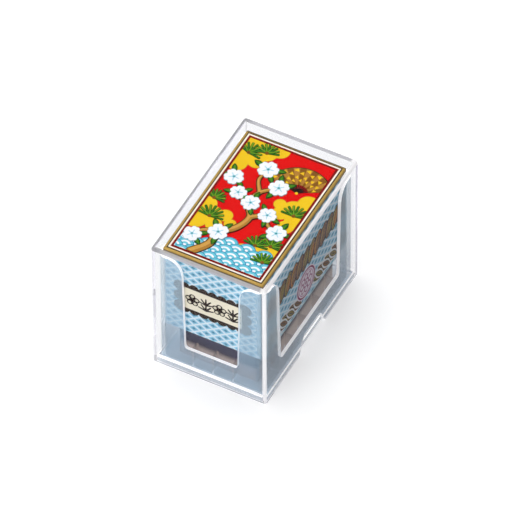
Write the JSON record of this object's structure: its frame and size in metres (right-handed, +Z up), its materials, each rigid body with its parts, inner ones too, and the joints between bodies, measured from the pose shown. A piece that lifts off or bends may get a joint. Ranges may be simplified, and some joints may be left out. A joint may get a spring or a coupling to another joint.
{
  "type": "flower card deck in a plastic case",
  "caption": "Small paper-wrapped card deck in a frosted windowed tray with a raised floor, under a clear slip-over cover and a gold-edged label card.",
  "frame": {"origin": "centre of the case's footprint on the table", "axes": "+Z up, +Y along the long side away from the titled end, +X across the short end towards the sealed side"},
  "size_m": [0.0398, 0.0618, 0.0519],
  "materials": {
    "clear_plastic": "clear polished polystyrene",
    "frosted_plastic": "blue-white frosted translucent polystyrene",
    "gold_board": "board with gold-coloured rolled edges",
    "label_print": "glossy colour print",
    "wrapping_paper": "printed wrapping paper with a blue lattice",
    "title_paper": "dark brown pasted paper",
    "cream_paper": "cream pasted paper",
    "seal_paper": "white paper with a printed magenta ring",
    "card_stock": "stiff laminated card with a black back and rim"
  },
  "bodies": {
    "tray": {"tray": "frosted_plastic"},
    "cover": {"cover": "clear_plastic"},
    "label": {"label_board": "gold_board", "label_print": "label_print"},
    "deck": {"wrapper": "wrapping_paper", "title_plate": "title_paper", "title_strip": "cream_paper", "side_seal": "seal_paper", "card_pine_1": "card_stock", "card_pine_2": "card_stock", "card_pine_3": "card_stock", "card_pine_4": "card_stock", "card_plum_1": "card_stock", "card_plum_2": "card_stock", "card_plum_3": "card_stock", "card_plum_4": "card_stock", "card_cherry_1": "card_stock", "card_cherry_2": "card_stock", "card_cherry_3": "card_stock", "card_cherry_4": "card_stock", "card_wisteria_1": "card_stock", "card_wisteria_2": "card_stock", "card_wisteria_3": "card_stock", "card_wisteria_4": "card_stock", "card_iris_1": "card_stock", "card_iris_2": "card_stock", "card_iris_3": "card_stock", "card_iris_4": "card_stock", "card_peony_1": "card_stock", "card_peony_2": "card_stock", "card_peony_3": "card_stock", "card_peony_4": "card_stock", "card_clover_1": "card_stock", "card_clover_2": "card_stock", "card_clover_3": "card_stock", "card_clover_4": "card_stock", "card_pampas_1": "card_stock", "card_pampas_2": "card_stock", "card_pampas_3": "card_stock", "card_pampas_4": "card_stock", "card_chrysanthemum_1": "card_stock", "card_chrysanthemum_2": "card_stock", "card_chrysanthemum_3": "card_stock", "card_chrysanthemum_4": "card_stock", "card_maple_1": "card_stock", "card_maple_2": "card_stock", "card_maple_3": "card_stock", "card_maple_4": "card_stock", "card_willow_1": "card_stock", "card_willow_2": "card_stock", "card_willow_3": "card_stock", "card_willow_4": "card_stock", "card_paulownia_1": "card_stock", "card_paulownia_2": "card_stock", "card_paulownia_3": "card_stock", "card_paulownia_4": "card_stock", "card_spare": "card_stock"}
  },
  "joints": [
    {"name": "cover_lift", "type": "slide", "parent": "tray", "child": "cover", "axis": [0, 0, 1], "range_m": [0, 0.09]},
    {"name": "deck_lift", "type": "slide", "parent": "tray", "child": "deck", "axis": [0, 0, 1], "range_m": [0, 0.036]},
    {"name": "label_lift", "type": "slide", "parent": "deck", "child": "label", "axis": [0, 0, 1], "range_m": [0, 0.0036]}
  ],
  "couplings": [
    {"joint": "deck_lift", "follows": "cover_lift", "ratio": 0.4},
    {"joint": "label_lift", "follows": "cover_lift", "ratio": 0.04}
  ]
}
